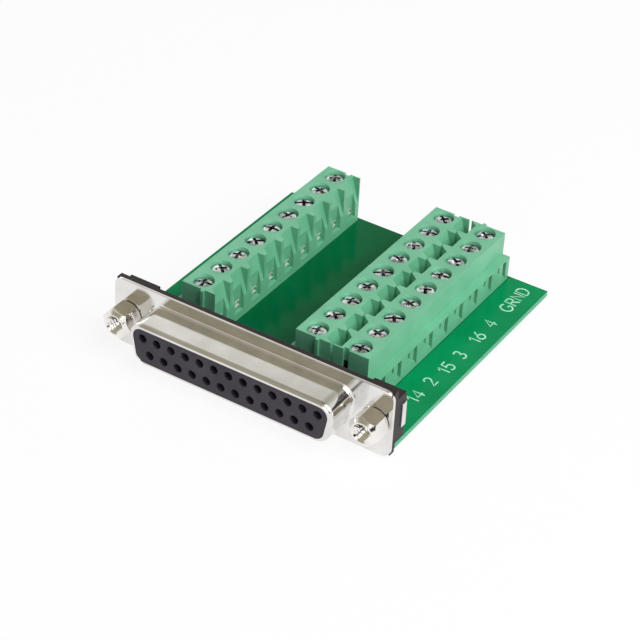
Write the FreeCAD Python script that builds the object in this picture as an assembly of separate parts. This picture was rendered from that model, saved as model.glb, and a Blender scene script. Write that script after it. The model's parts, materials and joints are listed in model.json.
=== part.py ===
"""Right-angle 25-way D-sub socket on a circuit board with three rows of screw terminals.

Millimetres, +Z up. X runs along the socket, Y runs back from its mating face, and Z is zero where
the solder tails stand on the table. The origin is the middle of the footprint.
"""
import FreeCAD
import Part
import math
import os

# Circuit board, placed from the front face of the socket's flange
board_side_gap = 0.22
board_thickness = 1.0
board_plate_gap = 0.05
board_back = 52.6
tail_reach = 1.2
drill_clearance = 0.15

# D-sub socket, shell size for 25 contacts
axis_above_board = 4.4
flange_width = 53.04
flange_height = 12.55
flange_corner = 1.6
flange_hole_edge = 3.0
flange_hole_radius = 1.55
shell_side_gap = 7.33
shell_height = 7.9
shell_reach = 5.9
shell_corner = 2.5
shell_side_angle = 10.0
shell_sheet = 0.45
shroud_wall = 0.8
shell_root_bevel = 0.6
contact_edge = 2.63
contact_row_gap = 2.84
upper_contacts = 13
lower_contacts = 12

# Insulator and contacts
insulator_recess = 0.15
insulator_slack = 0.05
insulator_lip = 0.6
insulator_lip_overlap = 1.1
mouth_radius = 0.82
mouth_depth = 1.5
barrel_side = 1.5
barrel_wall = 0.2
barrel_slack = 0.1
tail_side = 0.6
lower_tail_back = 2.6
tail_row_gap = 2.54

# Black rear housing with its two ears
backplate = 1.2
backplate_edge_step = 0.25
organiser_side_step = 0.31
organiser_back = 5.9
organiser_top = 2.2
organiser_wall = 0.4
ear_edge_gap = 0.26
ear_width = 5.8
ear_back = 4.3
ear_top = 4.2

# Jack sockets and the inserts that hold them
jack_across_flats = 4.8
jack_reach = 4.13
jack_tip_chamfer = 0.85
jack_rear_chamfer = 0.3
jack_right_turn = 18.0
jack_thread_radius = 1.42
jack_thread_depth = 3.6
stud_radius = 1.4
stud_length = 3.4
insert_radius = 2.1
insert_slack = 0.05

# Board locks on the outer sides of the ears
lock_strip = 0.25
lock_width = 1.2
lock_ear_gap = 0.7
lock_top = 2.5
lock_bend = -1.75
lock_leg_inset = 0.7
lock_slack = 0.1

# Terminal rows
poles = 9
pole_pitch = 5.0
row_end = 2.2
first_screw_back = 9.7
left_row_edge = 10.6
right_row_edge = 11.65
row_pitch = 8.15

# Terminal housing, measured from the screw axis and from the board
block_height = 8.8
wire_face = 2.75
band_face = 4.15
band_height = 4.5
rib_face = 3.95
facet_top = 2.5
facet_foot_height = 3.9
rib_side = -1.95
rib_root = 1.2
rib_tip_back = 2.3
screw_well_radius = 1.9
screw_recess = 0.4
throat_side = 2.8
chamber_half_width = 1.85
chamber_front = 2.0
chamber_back = 2.8
chamber_roof = 6.3
entry_low = 0.65
entry_shoulder = 1.75
entry_high = 4.2
entry_from = 0.2
entry_to = 1.05
funnel_from = -1.0
funnel_depth = 0.15
notch_from = -1.95
notch_to = -1.35
notch_low = 3.0
notch_high = 4.2
notch_depth = 0.55
panel_from = -1.05
panel_to = 1.5
panel_low = 1.4
panel_high = 6.1
panel_face = 3.3
window_from = -0.8
window_to = 0.9
window_low = 1.4
window_high = 3.4
key_place = 1.45
key_width = 0.6
key_reach = 0.5
key_low = 2.0
key_slack = 0.2

# Clamp screw, cage and current bar
head_radius = 1.6
head_height = 1.0
shank_radius = 1.25
head_slack = 0.05
drive_slot_width = 0.5
drive_slot_depth = 0.5
cage_width = 3.3
cage_depth = 3.2
cage_low = 0.65
cage_floor = 0.4
cage_window = 2.4
cage_top = 0.8
cage_side = 0.3
thread_slack = 0.08
bar_width = 2.2
bar_thickness = 0.5
bar_front = 1.8
bar_slack = 0.05
pin_width = 1.0
round_sides = 12
shank_sides = 6
mouth_sides = 8

# Places worked out from the sizes above
board_width = flange_width - 2 * board_side_gap
flange_hole_spacing = flange_width - 2 * flange_hole_edge
shell_width = flange_width - 2 * shell_side_gap
contact_pitch = (shell_width - 2 * contact_edge) / (upper_contacts - 1)
organiser_width = shell_width + 2 * organiser_side_step
ear_outer = flange_width / 2 - ear_edge_gap
ear_inner = ear_outer - ear_width
left_row_x = left_row_edge - board_width / 2
right_row_x = board_width / 2 - right_row_edge
middle_row_x = right_row_x - row_pitch
board_top = tail_reach + board_thickness
board_front = shell_sheet + backplate + board_plate_gap
axis_height = board_top + axis_above_board
row_length = (poles - 1) * pole_pitch + 2 * row_end
row_middle_back = first_screw_back + (poles - 1) * pole_pitch / 2
rear_reach = max(board_back, row_middle_back + row_length / 2 + key_reach)
origin_back = (rear_reach - shell_reach) / 2
pole_places = [(k - (poles - 1) / 2) * pole_pitch for k in range(poles)]
head_top = block_height - screw_recess
shoulder = head_top - head_height - head_slack
bar_top = cage_low + cage_floor + cage_window - bar_slack
bar_low = bar_top - bar_thickness
upper_tail_back = lower_tail_back + tail_row_gap
over = 1.0


def behind(distance):
    """World Y of a point this far behind the flange's front face."""
    return distance - origin_back


def block(x, y, z):
    """Box from three (low, high) pairs."""
    corner = FreeCAD.Vector(x[0], y[0], z[0])
    return Part.makeBox(x[1] - x[0], y[1] - y[0], z[1] - z[0], corner)


def prism(points, direction):
    """Closed outline of 3-D points, pushed along a direction."""
    outline = Part.makePolygon([FreeCAD.Vector(*p) for p in points + points[:1]])
    return Part.Face(outline).extrude(FreeCAD.Vector(*direction))


def many_sided(radius, sides, base, direction):
    """Regular bar of the given corner radius from base along direction."""
    axis = FreeCAD.Vector(*direction)
    side_on = FreeCAD.Vector(1, 0, 0)
    other = axis.cross(side_on)
    other.normalize()
    points = []
    for k in range(sides):
        angle = 2 * math.pi * (k + 0.5) / sides
        outwards = side_on * math.cos(angle) + other * math.sin(angle)
        points.append(FreeCAD.Vector(*base) + outwards * radius)
    return prism([tuple(p) for p in points], tuple(axis))


def rod(radius, base, direction):
    """Round bar from base along direction."""
    axis = FreeCAD.Vector(*direction)
    return Part.makeCylinder(radius, axis.Length, FreeCAD.Vector(*base), axis)


def turned_about_x(shape):
    """The same shape mirrored to the other end of the socket."""
    return shape.mirror(FreeCAD.Vector(0, 0, 0), FreeCAD.Vector(1, 0, 0))


def edges_along(shape, direction):
    """Straight edges of a shape that run along a direction."""
    wanted = FreeCAD.Vector(*direction)
    found = []
    for edge in shape.Edges:
        run = edge.Vertexes[-1].Point - edge.Vertexes[0].Point
        if run.Length > 0 and run.cross(wanted).Length < 1e-6 * run.Length:
            found.append(edge)
    return found


def d_outline(inset, front, back):
    """D-shaped plug with its wide side up, inset from the shell's outside."""
    lean = math.radians(shell_side_angle)
    corner_radius = shell_corner - inset
    arc_centre = shell_width / 2 - shell_corner
    top = shell_height / 2 - inset
    half_top = arc_centre + corner_radius * (1 + math.sin(lean)) / math.cos(lean)
    half_bottom = half_top - 2 * top * math.tan(lean)
    y = behind(front)
    points = [(-half_top, y, axis_height + top), (half_top, y, axis_height + top),
              (half_bottom, y, axis_height - top), (-half_bottom, y, axis_height - top)]
    solid = prism(points, (0, back - front, 0))
    return solid.makeFillet(corner_radius, edges_along(solid, (0, 1, 0)))


def jack_places():
    return [-flange_hole_spacing / 2, flange_hole_spacing / 2]


def front_shell():
    """Pressed shell: flange, D-shaped shroud with a bevelled root, and two screw holes."""
    half_width = flange_width / 2
    half_height = flange_height / 2
    flange = block((-half_width, half_width), (behind(0), behind(shell_sheet)),
                   (axis_height - half_height, axis_height + half_height))
    flange = flange.makeFillet(flange_corner, edges_along(flange, (0, 1, 0)))
    shell = flange.fuse(d_outline(0, -shell_reach, shell_sheet)).removeSplitter()
    root = []
    for edge in shell.Edges:
        ends = [v.Point.y for v in edge.Vertexes]
        near_shroud = abs(edge.CenterOfMass.x) < shell_width / 2 + over
        low = axis_height - shell_height / 2 - over / 2
        high = axis_height + shell_height / 2 + over / 2
        if near_shroud and low < edge.CenterOfMass.z < high and max(abs(y - behind(0)) for y in ends) < 1e-6:
            root.append(edge)
    shell = shell.makeChamfer(shell_root_bevel, root)
    cuts = [d_outline(shroud_wall, -shell_reach - over, shell_sheet + over)]
    for x in jack_places():
        cuts.append(many_sided(flange_hole_radius, round_sides, (x, behind(-over), axis_height),
                               (0, 2 * over + shell_sheet, 0)))
    return shell.cut(cuts)


def contact_places():
    """(x, z, distance of the tail behind the flange) of every contact, upper row first."""
    rows = []
    for count, side, tail in ((upper_contacts, 1, upper_tail_back), (lower_contacts, -1, lower_tail_back)):
        z = axis_height + side * contact_row_gap / 2
        rows.append([((k - (count - 1) / 2) * contact_pitch, z, tail) for k in range(count)])
    return rows


def insulator_lip_outline(slack):
    """Rectangular lip behind the flange, grown by a slack."""
    half_width = shell_width / 2 + insulator_lip_overlap + slack
    half_height = shell_height / 2 + insulator_lip_overlap / 2 + slack
    back = behind(shell_sheet + insulator_lip + slack)
    return block((-half_width, half_width), (behind(shell_sheet), back),
                 (axis_height - half_height, axis_height + half_height))


def contact_insulator():
    """Dark moulding that fills the shell, with a mouth and a pocket for every contact."""
    face = insulator_recess - shell_reach
    body = d_outline(shroud_wall + insulator_slack, face, shell_sheet)
    body = body.fuse(insulator_lip_outline(0))
    half = barrel_side / 2 + barrel_slack
    reach = 2 * over + mouth_depth
    cuts = []
    for row in contact_places():
        for x, z, tail in row:
            cuts.append(many_sided(mouth_radius, mouth_sides, (x, behind(face - over), z), (0, reach, 0)))
            cuts.append(block((x - half, x + half), (behind(face + mouth_depth), behind(backplate + over)),
                              (z - half, z + half)))
    return body.cut(cuts).removeSplitter()


def rear_housing():
    """Black moulding: plate behind the flange, hollow organiser for the tails, and two ears."""
    plate_back = shell_sheet + backplate
    half_width = flange_width / 2 - backplate_edge_step
    half_height = flange_height / 2 - backplate_edge_step
    low = board_top
    inside_plate = behind(plate_back - over / 2)
    solid = block((-half_width, half_width), (behind(shell_sheet), behind(plate_back)),
                  (axis_height - half_height, axis_height + half_height))
    added = [block((-organiser_width / 2, organiser_width / 2), (inside_plate, behind(organiser_back)),
                   (low, axis_height + organiser_top))]
    for x in ((-ear_outer, -ear_inner), (ear_inner, ear_outer)):
        added.append(block(x, (inside_plate, behind(ear_back)), (low, axis_height + ear_top)))
    solid = solid.fuse(added)
    hollow = organiser_width / 2 - organiser_wall
    inside_back = behind(organiser_back - organiser_wall)
    cuts = [insulator_lip_outline(insulator_slack),
            block((-hollow, hollow), (behind(shell_sheet), inside_back),
                  (low, axis_height + organiser_top - organiser_wall)),
            block((-hollow, hollow), (behind(shell_sheet + insulator_lip), inside_back),
                  (low - over, low + over))]
    for x in jack_places():
        cuts.append(many_sided(insert_radius + insert_slack, round_sides, (x, behind(0), axis_height),
                               (0, ear_back + over, 0)))
    cuts += lock_channels()
    return solid.cut(cuts).removeSplitter()


def lock_parts(slack):
    """Boxes of one board lock on the right ear: outer strip, bend and leg, grown by a slack."""
    middle = ear_back - lock_ear_gap
    half = lock_width / 2 + slack
    y = (behind(middle - half), behind(middle + half))
    leg_out = ear_outer - lock_leg_inset
    bend = axis_height + lock_bend
    outside = ear_outer + lock_strip
    return [block((ear_outer, outside), y, (bend - lock_strip, axis_height + lock_top)),
            block((leg_out - lock_strip - slack, outside), y, (bend - lock_strip - slack, bend + slack)),
            block((leg_out - lock_strip - slack, leg_out + slack), y, (-slack, bend))]


def lock_channels():
    right = lock_parts(lock_slack)[1:]
    return right + [turned_about_x(piece) for piece in right]


def board_lock(side):
    strip, bend, leg = lock_parts(0)
    lock = strip.fuse([bend, leg]).removeSplitter()
    return lock if side > 0 else turned_about_x(lock)


def socket_contacts(row):
    """Box-shaped spring sockets of one row, each with a tail bent down through the board."""
    start = behind(insulator_recess - shell_reach + mouth_depth)
    end = behind(shell_sheet + insulator_lip)
    half = barrel_side / 2
    bore = half - barrel_wall
    pieces = []
    for x, z, tail in contact_places()[row]:
        barrel = block((x - half, x + half), (start, end), (z - half, z + half))
        barrel = barrel.cut(block((x - bore, x + bore), (start - over, end - 2 * barrel_wall),
                                  (z - bore, z + bore)))
        side = tail_side / 2
        path = [(x - side, end - barrel_wall, z + side), (x - side, behind(tail) + side, z + side),
                (x - side, behind(tail) + side, 0), (x - side, behind(tail) - side, 0),
                (x - side, behind(tail) - side, z - side), (x - side, end - barrel_wall, z - side)]
        pieces.append(barrel.fuse(prism(path, (tail_side, 0, 0))).removeSplitter())
    return Part.makeCompound(pieces)


def bevelled_bar(corner, tip):
    """Many-sided bar whose tip and foot are bevelled at 45 degrees."""
    rings = []
    for radius, back in ((corner - jack_tip_chamfer, 0), (corner, jack_tip_chamfer),
                         (corner, jack_reach - jack_rear_chamfer), (corner - jack_rear_chamfer, jack_reach)):
        ring = []
        for k in range(round_sides + 1):
            angle = 2 * math.pi * k / round_sides
            ring.append(FreeCAD.Vector(tip[0] + radius * math.cos(angle), tip[1] + back,
                                       tip[2] + radius * math.sin(angle)))
        rings.append(Part.makePolygon(ring))
    return Part.makeLoft(rings, True, True)


def jack_socket(x, turn):
    """Hexagonal standoff with a bevelled tip, a threaded hole, and a stud through the flange."""
    corner = jack_across_flats / math.sqrt(3)
    centre = (x, behind(-jack_reach), axis_height)
    hexagon = many_sided(corner, 6, centre, (0, jack_reach, 0))
    hexagon.rotate(FreeCAD.Vector(*centre), FreeCAD.Vector(0, -1, 0), turn)
    nut = hexagon.common(bevelled_bar(corner, centre))
    nut = nut.fuse(many_sided(stud_radius, round_sides, (x, behind(-over / 2), axis_height),
                              (0, stud_length + over / 2, 0)))
    hole = rod(jack_thread_radius, (x, behind(-jack_reach - over), axis_height),
               (0, jack_thread_depth + over, 0))
    return nut.cut(hole)


def threaded_insert(x):
    """Round insert in the ear that the jack socket's stud screws into."""
    length = ear_back - shell_sheet
    insert = many_sided(insert_radius, round_sides, (x, behind(shell_sheet), axis_height), (0, length, 0))
    return insert.cut(many_sided(stud_radius + insert_slack, round_sides, (x, behind(0), axis_height),
                                 (0, ear_back + over, 0)))


def circuit_board():
    """Board with one hole for every tail, pin and lock leg."""
    half = board_width / 2
    board = block((-half, half), (behind(board_front), behind(board_back)), (tail_reach, board_top))
    holes = []

    def drill(x, y, width, length):
        across = width / 2 + drill_clearance
        along = length / 2 + drill_clearance
        holes.append(block((x - across, x + across), (y - along, y + along),
                           (tail_reach - over, board_top + over)))

    for row in contact_places():
        for x, z, tail in row:
            drill(x, behind(tail), tail_side, tail_side)
    for name, row_x, facing in terminal_rows():
        for v in pole_places:
            u = -(chamber_back - bar_slack - bar_thickness / 2)
            drill(row_x + facing * u, behind(row_middle_back) + facing * v, bar_thickness, pin_width)
    leg = lock_parts(0)[2].BoundBox
    for side in (-1, 1):
        drill(side * leg.Center.x, leg.Center.y, lock_strip, lock_width)
    return board.cut(holes)


def terminal_rows():
    """(name, x of the screw axes, side that the wires enter from) of each row."""
    return [("left", left_row_x, -1), ("middle", middle_row_x, -1), ("right", right_row_x, 1)]


def seat(shape, row_x, facing):
    """Turns a piece modelled about its row's middle and stands it on the board."""
    placed = shape.copy()
    if facing < 0:
        placed.rotate(FreeCAD.Vector(0, 0, 0), FreeCAD.Vector(0, 0, 1), 180)
    placed.translate(FreeCAD.Vector(row_x, behind(row_middle_back), board_top))
    return placed


def facet(v):
    """Wedge cut away between two ribs, so that each pole's back slopes outwards to its foot."""
    lean = (rib_face - facet_top) / (block_height - facet_foot_height)
    top = block_height + over
    reach = rib_face + over
    section = [(-rib_face, rib_side, facet_foot_height), (-facet_top + lean * over, rib_side, top),
               (-reach, rib_side, top), (-reach, rib_side, facet_foot_height)]
    slope = (rib_tip_back - rib_root) / (rib_face - facet_top)
    wedge = prism(section, (0, rib_tip_back + slope * over - rib_side, 0))
    plan = [(over - facet_top, rib_side, 0), (over - facet_top, rib_root - slope * over, 0),
            (-reach, rib_tip_back + slope * over, 0), (-reach, rib_side, 0)]
    wedge = wedge.common(prism(plan, (0, 0, top)))
    wedge.translate(FreeCAD.Vector(0, v, 0))
    return wedge


def pole_cuts(v):
    """Everything that one pole removes from the housing."""
    well = many_sided(screw_well_radius, round_sides, (0, v, shoulder), (0, 0, block_height))
    throat = block((-throat_side / 2, throat_side / 2), (v - throat_side / 2, v + throat_side / 2),
                   (chamber_roof - over, shoulder + over))
    chamber = block((-chamber_back, chamber_front), (v - chamber_half_width, v + chamber_half_width),
                    (-over, chamber_roof))
    inside = chamber_front - over
    near = v + entry_from
    far = v + entry_to
    entry = prism([(inside, near, entry_shoulder), (inside, far, entry_low), (inside, far, entry_high),
                   (inside, near, entry_high)], (band_face + over - inside, 0, 0))
    funnel = prism([(band_face, v + funnel_from, entry_shoulder),
                    (band_face + over, v + funnel_from, entry_shoulder),
                    (band_face + over, near, entry_shoulder),
                    (band_face - funnel_depth, near, entry_shoulder)], (0, 0, entry_high - entry_shoulder))
    notch = block((band_face - notch_depth, band_face + over), (v + notch_from, v + notch_to),
                  (notch_low, notch_high))
    panel = block((-rib_face - over, -panel_face), (v + panel_from, v + panel_to), (panel_low, panel_high))
    window = block((-panel_face - over, -chamber_back + over), (v + window_from, v + window_to),
                   (window_low, window_high))
    return [well, throat, chamber, entry, funnel, notch, panel, window, facet(v)]


def terminal_housing():
    """Nine-way green housing: wells on top, entries in a stepped front band, ribs at the back."""
    half = row_length / 2
    section = [(-rib_face, -half, 0), (band_face, -half, 0), (band_face, -half, band_height),
               (wire_face, -half, band_height), (wire_face, -half, block_height),
               (-rib_face, -half, block_height)]
    body = prism(section, (0, row_length, 0))
    cuts = []
    for v in pole_places:
        cuts += pole_cuts(v)
    groove = key_width / 2 + key_slack
    cuts.append(block((-key_place - groove, -key_place + groove), (-half - over, -half + key_reach),
                      (-over, block_height + over)))
    body = body.cut(cuts)
    key = block((-key_place - key_width / 2, -key_place + key_width / 2),
                (half - key_reach / 2, half + key_reach), (key_low, block_height))
    return body.fuse(key).removeSplitter()


def clamp_screw():
    """Slotted clamp screw, captive between its well's shoulder and the cage."""
    tip = bar_top + bar_slack
    head = many_sided(head_radius, round_sides, (0, 0, head_top - head_height), (0, 0, head_height))
    shank = many_sided(shank_radius, shank_sides, (0, 0, tip), (0, 0, head_top - head_height / 2 - tip))
    drive = block((-head_radius - over, head_radius + over), (-drive_slot_width / 2, drive_slot_width / 2),
                  (head_top - drive_slot_depth, head_top + over))
    return head.fuse(shank).cut(drive).removeSplitter()


def clamp_cages():
    """Rising cages of one row, each a closed strip around its current bar."""
    pieces = []
    height = cage_floor + cage_window + cage_top
    for v in pole_places:
        cage = block((-cage_depth / 2, cage_depth / 2), (v - cage_width / 2, v + cage_width / 2),
                     (cage_low, cage_low + height))
        inside = cage_width / 2 - cage_side
        mouth = block((-cage_depth, cage_depth), (v - inside, v + inside),
                      (cage_low + cage_floor, cage_low + cage_floor + cage_window))
        reach = shank_radius + thread_slack
        thread = block((-reach, reach), (v - reach, v + reach),
                       (cage_low + cage_floor + over / 2, cage_low + height + over))
        pieces.append(cage.cut([mouth, thread]))
    return Part.makeCompound(pieces)


def current_bars():
    """Fixed bars of one row, each bent down at the back into a solder pin."""
    pieces = []
    back = -chamber_back + bar_slack
    for v in pole_places:
        bend = [(bar_front, v - bar_width / 2, bar_top), (back, v - bar_width / 2, bar_top),
                (back, v - bar_width / 2, bar_slack), (back + bar_thickness, v - bar_width / 2, bar_slack),
                (back + bar_thickness, v - bar_width / 2, bar_low), (bar_front, v - bar_width / 2, bar_low)]
        bar = prism(bend, (0, bar_width, 0))
        pin = block((back, back + bar_thickness), (v - pin_width / 2, v + pin_width / 2),
                    (-board_top, bar_low))
        pieces.append(bar.fuse(pin).removeSplitter())
    return Part.makeCompound(pieces)


def all_nodes():
    left_x, right_x = jack_places()
    nodes = {
        "circuit_board": circuit_board(),
        "front_shell": front_shell(),
        "contact_insulator": contact_insulator(),
        "rear_housing": rear_housing(),
        "upper_contacts": socket_contacts(0),
        "lower_contacts": socket_contacts(1),
        "jack_socket_left": jack_socket(left_x, 0),
        "jack_socket_right": jack_socket(right_x, jack_right_turn),
        "threaded_insert_left": threaded_insert(left_x),
        "threaded_insert_right": threaded_insert(right_x),
        "board_lock_left": board_lock(-1),
        "board_lock_right": board_lock(1),
    }
    housing = terminal_housing()
    cages = clamp_cages()
    bars = current_bars()
    screw = clamp_screw()
    for name, row_x, facing in terminal_rows():
        nodes["terminal_housing_" + name] = seat(housing, row_x, facing)
        nodes["clamp_cages_" + name] = seat(cages, row_x, facing)
        nodes["current_bars_" + name] = seat(bars, row_x, facing)
        for k in range(poles):
            placed = seat(screw, row_x, facing)
            placed.translate(FreeCAD.Vector(0, pole_places[k], 0))
            nodes["clamp_screw_%s_%d" % (name, k + 1)] = placed
    return nodes


os.makedirs("parts", exist_ok=True)
for name, shape in all_nodes().items():
    shape.exportStep("parts/" + name + ".step")
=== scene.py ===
"""Dresses the D-sub terminal adapter: finishes, smooth turned and pressed surfaces, ink and solder.

Sizes are written in millimetres, as the part's own drawing gives them, and scaled to metres as
each mesh is placed. The relief of the finishes, the lamps and the floor are given in metres.
"""

import bmesh
import bpy
import json
import math
from mathutils import Matrix, Vector


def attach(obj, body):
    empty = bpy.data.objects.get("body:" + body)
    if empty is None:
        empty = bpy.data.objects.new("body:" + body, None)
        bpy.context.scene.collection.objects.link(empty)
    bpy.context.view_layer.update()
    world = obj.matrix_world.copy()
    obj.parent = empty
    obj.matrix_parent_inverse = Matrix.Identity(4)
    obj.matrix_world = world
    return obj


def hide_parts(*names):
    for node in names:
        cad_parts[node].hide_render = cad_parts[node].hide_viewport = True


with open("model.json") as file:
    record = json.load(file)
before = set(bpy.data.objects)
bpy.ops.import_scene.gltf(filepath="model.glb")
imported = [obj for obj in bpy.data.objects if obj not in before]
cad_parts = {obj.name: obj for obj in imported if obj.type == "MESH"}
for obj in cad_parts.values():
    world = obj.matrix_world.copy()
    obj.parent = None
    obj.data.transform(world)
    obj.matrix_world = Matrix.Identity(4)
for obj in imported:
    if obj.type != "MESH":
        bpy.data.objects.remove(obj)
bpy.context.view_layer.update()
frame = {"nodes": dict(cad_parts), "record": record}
nodes = frame["nodes"]

MM = 0.001

# Places shared with the part
ORIGIN_BACK = 23.35
BOARD_BOTTOM = 1.2
BOARD_TOP = 2.2
AXIS_HEIGHT = 6.6
ROWS = (("left", -15.7, -1), ("middle", 6.5, -1), ("right", 14.65, 1))
POLES = 9
POLE_PITCH = 5.0
ROW_MIDDLE = 29.7
BLOCK_HEIGHT = 8.8
HEAD_TOP = 8.5
CONTACT_ROWS = ((13, 1), (12, -1))
CONTACT_PITCH = 2.76
CONTACT_ROW_GAP = 2.84
SHELL_REACH = 5.9


def behind(distance):
    """Y of a point this far behind the flange's front face."""
    return distance - ORIGIN_BACK


def pole_backs():
    """How far behind the flange each pole of a terminal row stands."""
    return [ROW_MIDDLE + (k - (POLES - 1) / 2) * POLE_PITCH for k in range(POLES)]


def contact_row(count):
    """X of each contact in a row of this many."""
    return [(k - (count - 1) / 2) * CONTACT_PITCH for k in range(count)]


# Finishes

COLOR_STEPS = (0.35, 0.65)
MOULD_DRIFT = 180
MOULD_GRAIN = 5200
PLATING_GLOSS = 420
PLATING_RELIEF = 2400
PLATING_RELIEF_HEIGHT = 0.0000012

# Painted shade on the board between the outer rows: how far it reaches from the board's middle, half the
# width of its fade, and its tone
BOARD_SHADE_REACH = 19.0
BOARD_SHADE_FADE = 0.2
BOARD_SHADE_TONE = 0.48
LAMINATE = (0.10, 0.42, 0.24)
LEVEL_ENOUGH = 0.7


def principled(name, color, roughness, metallic=0.0, specular=0.5):
    """Material with one shader, whose plain numbers sit on the shader's own sockets."""
    material = bpy.data.materials.new(name)
    material.use_nodes = True
    shader = material.node_tree.nodes["Principled BSDF"]
    shader.inputs["Base Color"].default_value = (*color, 1)
    shader.inputs["Roughness"].default_value = roughness
    shader.inputs["Metallic"].default_value = metallic
    shader.inputs["Specular IOR Level"].default_value = specular
    return material


def object_noise(material, scale, detail=3.0):
    """Noise on Object coordinates; scale counts features per metre."""
    tree = material.node_tree
    place = tree.nodes.new("ShaderNodeTexCoord")
    noise = tree.nodes.new("ShaderNodeTexNoise")
    noise.inputs["Scale"].default_value = scale
    noise.inputs["Detail"].default_value = detail
    tree.links.new(place.outputs["Object"], noise.inputs["Vector"])
    return noise.outputs["Fac"]


def drive_color(material, factor, dark, light):
    """Base colour that runs from dark to light with a factor."""
    tree = material.node_tree
    ramp = tree.nodes.new("ShaderNodeValToRGB")
    for stop, position, color in zip(ramp.color_ramp.elements, COLOR_STEPS, (dark, light)):
        stop.position = position
        stop.color = (*color, 1)
    tree.links.new(factor, ramp.inputs["Fac"])
    tree.links.new(ramp.outputs["Color"], tree.nodes["Principled BSDF"].inputs["Base Color"])
    return ramp


def drive_roughness(material, factor, low, high):
    """Gloss that wanders between two roughnesses with a factor."""
    tree = material.node_tree
    spread = tree.nodes.new("ShaderNodeMapRange")
    spread.inputs["To Min"].default_value = low
    spread.inputs["To Max"].default_value = high
    tree.links.new(factor, spread.inputs["Value"])
    tree.links.new(spread.outputs["Result"], tree.nodes["Principled BSDF"].inputs["Roughness"])


def drive_bump(material, factor, height):
    """Fine relief, its height in metres."""
    tree = material.node_tree
    bump = tree.nodes.new("ShaderNodeBump")
    bump.inputs["Strength"].default_value = 1.0
    bump.inputs["Distance"].default_value = height
    tree.links.new(factor, bump.inputs["Height"])
    tree.links.new(bump.outputs["Normal"], tree.nodes["Principled BSDF"].inputs["Normal"])


def moulded(name, dark, light, roughness, grain_height, specular):
    """Moulded plastic: a slight colour drift, a fine spark-eroded grain and uneven gloss."""
    material = principled(name, light, roughness, specular=specular)
    drive_color(material, object_noise(material, MOULD_DRIFT), dark, light)
    grain = object_noise(material, MOULD_GRAIN, detail=2.0)
    drive_roughness(material, grain, roughness - 0.06, roughness + 0.08)
    drive_bump(material, grain, grain_height)
    return material


def plated(name, dark, light, rough_low, rough_high, clouds=260, metallic=1.0):
    """Plated metal with a clouded tone, a slightly uneven gloss and a faint relief."""
    material = principled(name, light, rough_low, metallic=metallic)
    drive_color(material, object_noise(material, clouds), dark, light)
    drive_roughness(material, object_noise(material, PLATING_GLOSS), rough_low, rough_high)
    drive_bump(material, object_noise(material, PLATING_RELIEF), PLATING_RELIEF_HEIGHT)
    return material


def component_size(tree, vector, axis):
    """Size of one component of a vector, without its sign."""
    parts = tree.nodes.new("ShaderNodeSeparateXYZ")
    size = tree.nodes.new("ShaderNodeMath")
    size.operation = "ABSOLUTE"
    tree.links.new(vector, parts.inputs["Vector"])
    tree.links.new(parts.outputs[axis], size.inputs[0])
    return size.outputs[0]


def solder_mask():
    """Green ink, darkened by painted shade between the outer rows, with paler laminate on the board's
    edges.
    """
    material = principled("solder_mask", (0.0, 0.27, 0.09), 0.14, specular=0.06)
    tree = material.node_tree
    drift = object_noise(material, 140)
    ramp = drive_color(material, drift, (0.0, 0.24, 0.08), (0.001, 0.285, 0.097))

    place = tree.nodes.new("ShaderNodeTexCoord")
    # Painted shade: darkens the ink across the middle of the board, between and under the rows
    board_shade = tree.nodes.new("ShaderNodeMapRange")
    board_shade.interpolation_type = "SMOOTHSTEP"
    board_shade.inputs["From Min"].default_value = (BOARD_SHADE_REACH - BOARD_SHADE_FADE) * MM
    board_shade.inputs["From Max"].default_value = (BOARD_SHADE_REACH + BOARD_SHADE_FADE) * MM
    board_shade.inputs["To Min"].default_value = BOARD_SHADE_TONE
    shaded_ink = tree.nodes.new("ShaderNodeVectorMath")
    shaded_ink.operation = "SCALE"
    tree.links.new(component_size(tree, place.outputs["Object"], "X"), board_shade.inputs["Value"])
    tree.links.new(ramp.outputs["Color"], shaded_ink.inputs["Vector"])
    tree.links.new(board_shade.outputs["Result"], shaded_ink.inputs["Scale"])

    normal = tree.nodes.new("ShaderNodeNewGeometry")
    flat = tree.nodes.new("ShaderNodeMath")
    flat.operation = "GREATER_THAN"
    flat.inputs[1].default_value = LEVEL_ENOUGH
    tree.links.new(component_size(tree, normal.outputs["Normal"], "Z"), flat.inputs[0])
    mix = tree.nodes.new("ShaderNodeMix")
    mix.data_type = "RGBA"
    mix.inputs["A"].default_value = (*LAMINATE, 1)
    tree.links.new(flat.outputs[0], mix.inputs["Factor"])
    tree.links.new(shaded_ink.outputs["Vector"], mix.inputs["B"])
    tree.links.new(mix.outputs["Result"], tree.nodes["Principled BSDF"].inputs["Base Color"])
    drive_bump(material, object_noise(material, 1500, detail=1.0), 0.000002)
    return material


finishes = {
    "green_solder_mask": solder_mask(),
    "green_moulding": moulded("green_polyamide", (0.13, 0.45, 0.26), (0.165, 0.51, 0.31),
                              0.45, 0.000004, 0.9),
    "black_moulding": moulded("black_polyester", (0.012, 0.008, 0.009), (0.022, 0.014, 0.016),
                              0.4, 0.000005, 0.2),
    "dark_moulding": moulded("dark_polyester", (0.030, 0.025, 0.037), (0.044, 0.038, 0.051),
                             0.4, 0.000004, 0.3),
    "plated_steel": plated("tinned_shell", (0.73, 0.72, 0.70), (0.83, 0.82, 0.80), 0.06, 0.17),
    "bright_nickel": plated("bright_nickel", (0.66, 0.63, 0.59), (0.82, 0.80, 0.77), 0.06, 0.18),
    "contact_metal": plated("tinned_brass", (0.62, 0.58, 0.48), (0.76, 0.73, 0.64), 0.2, 0.34),
    "zinc_steel": plated("zinc_steel", (0.70, 0.70, 0.70), (0.82, 0.82, 0.82), 0.28, 0.42),
}
screw_zinc = plated("screw_zinc", (0.22, 0.25, 0.26), (0.82, 0.86, 0.87), 0.08, 0.22, clouds=1100)
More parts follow.
